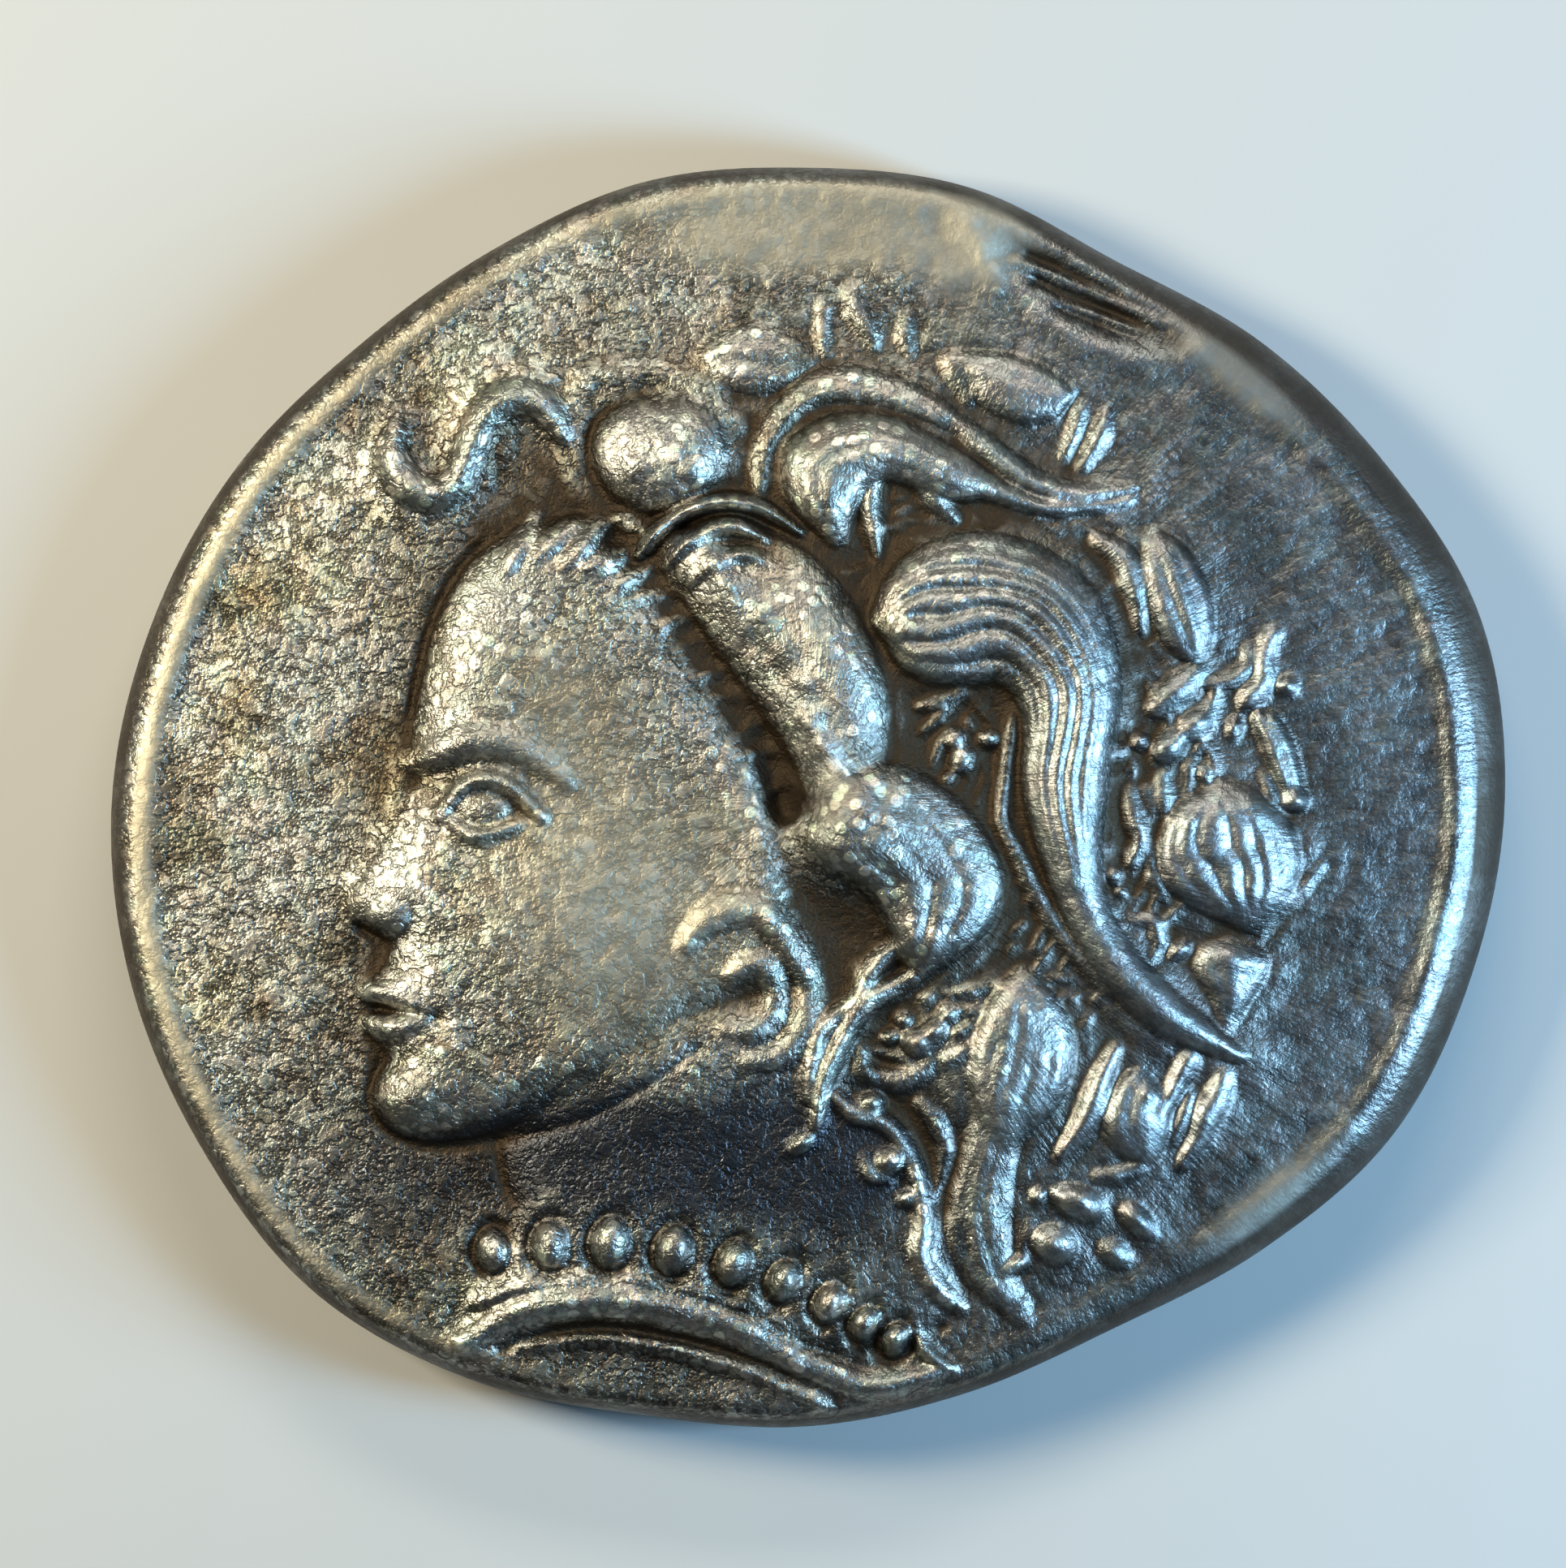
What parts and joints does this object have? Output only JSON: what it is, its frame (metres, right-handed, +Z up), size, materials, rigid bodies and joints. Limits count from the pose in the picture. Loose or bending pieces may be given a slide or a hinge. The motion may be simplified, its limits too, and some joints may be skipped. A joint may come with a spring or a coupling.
{
  "type": "ancient silver coin",
  "caption": "Hammered silver drachm with an irregular rim, struck with a head in profile with long curling hair and a bead necklace; lies flat on its reverse.",
  "frame": {"origin": "middle of the coin's bounding box, on the surface that it lies on", "axes": "+X to the right across the widest line of the struck face, +Y to the top of the design, +Z up out of the struck face"},
  "size_m": [0.019, 0.0172, 0.003],
  "materials": {
    "silver": "toned silver, worn satin on the high forms, brown-black patina in the hollows"
  },
  "bodies": {
    "root": {"drachm": "silver"}
  },
  "joints": []
}
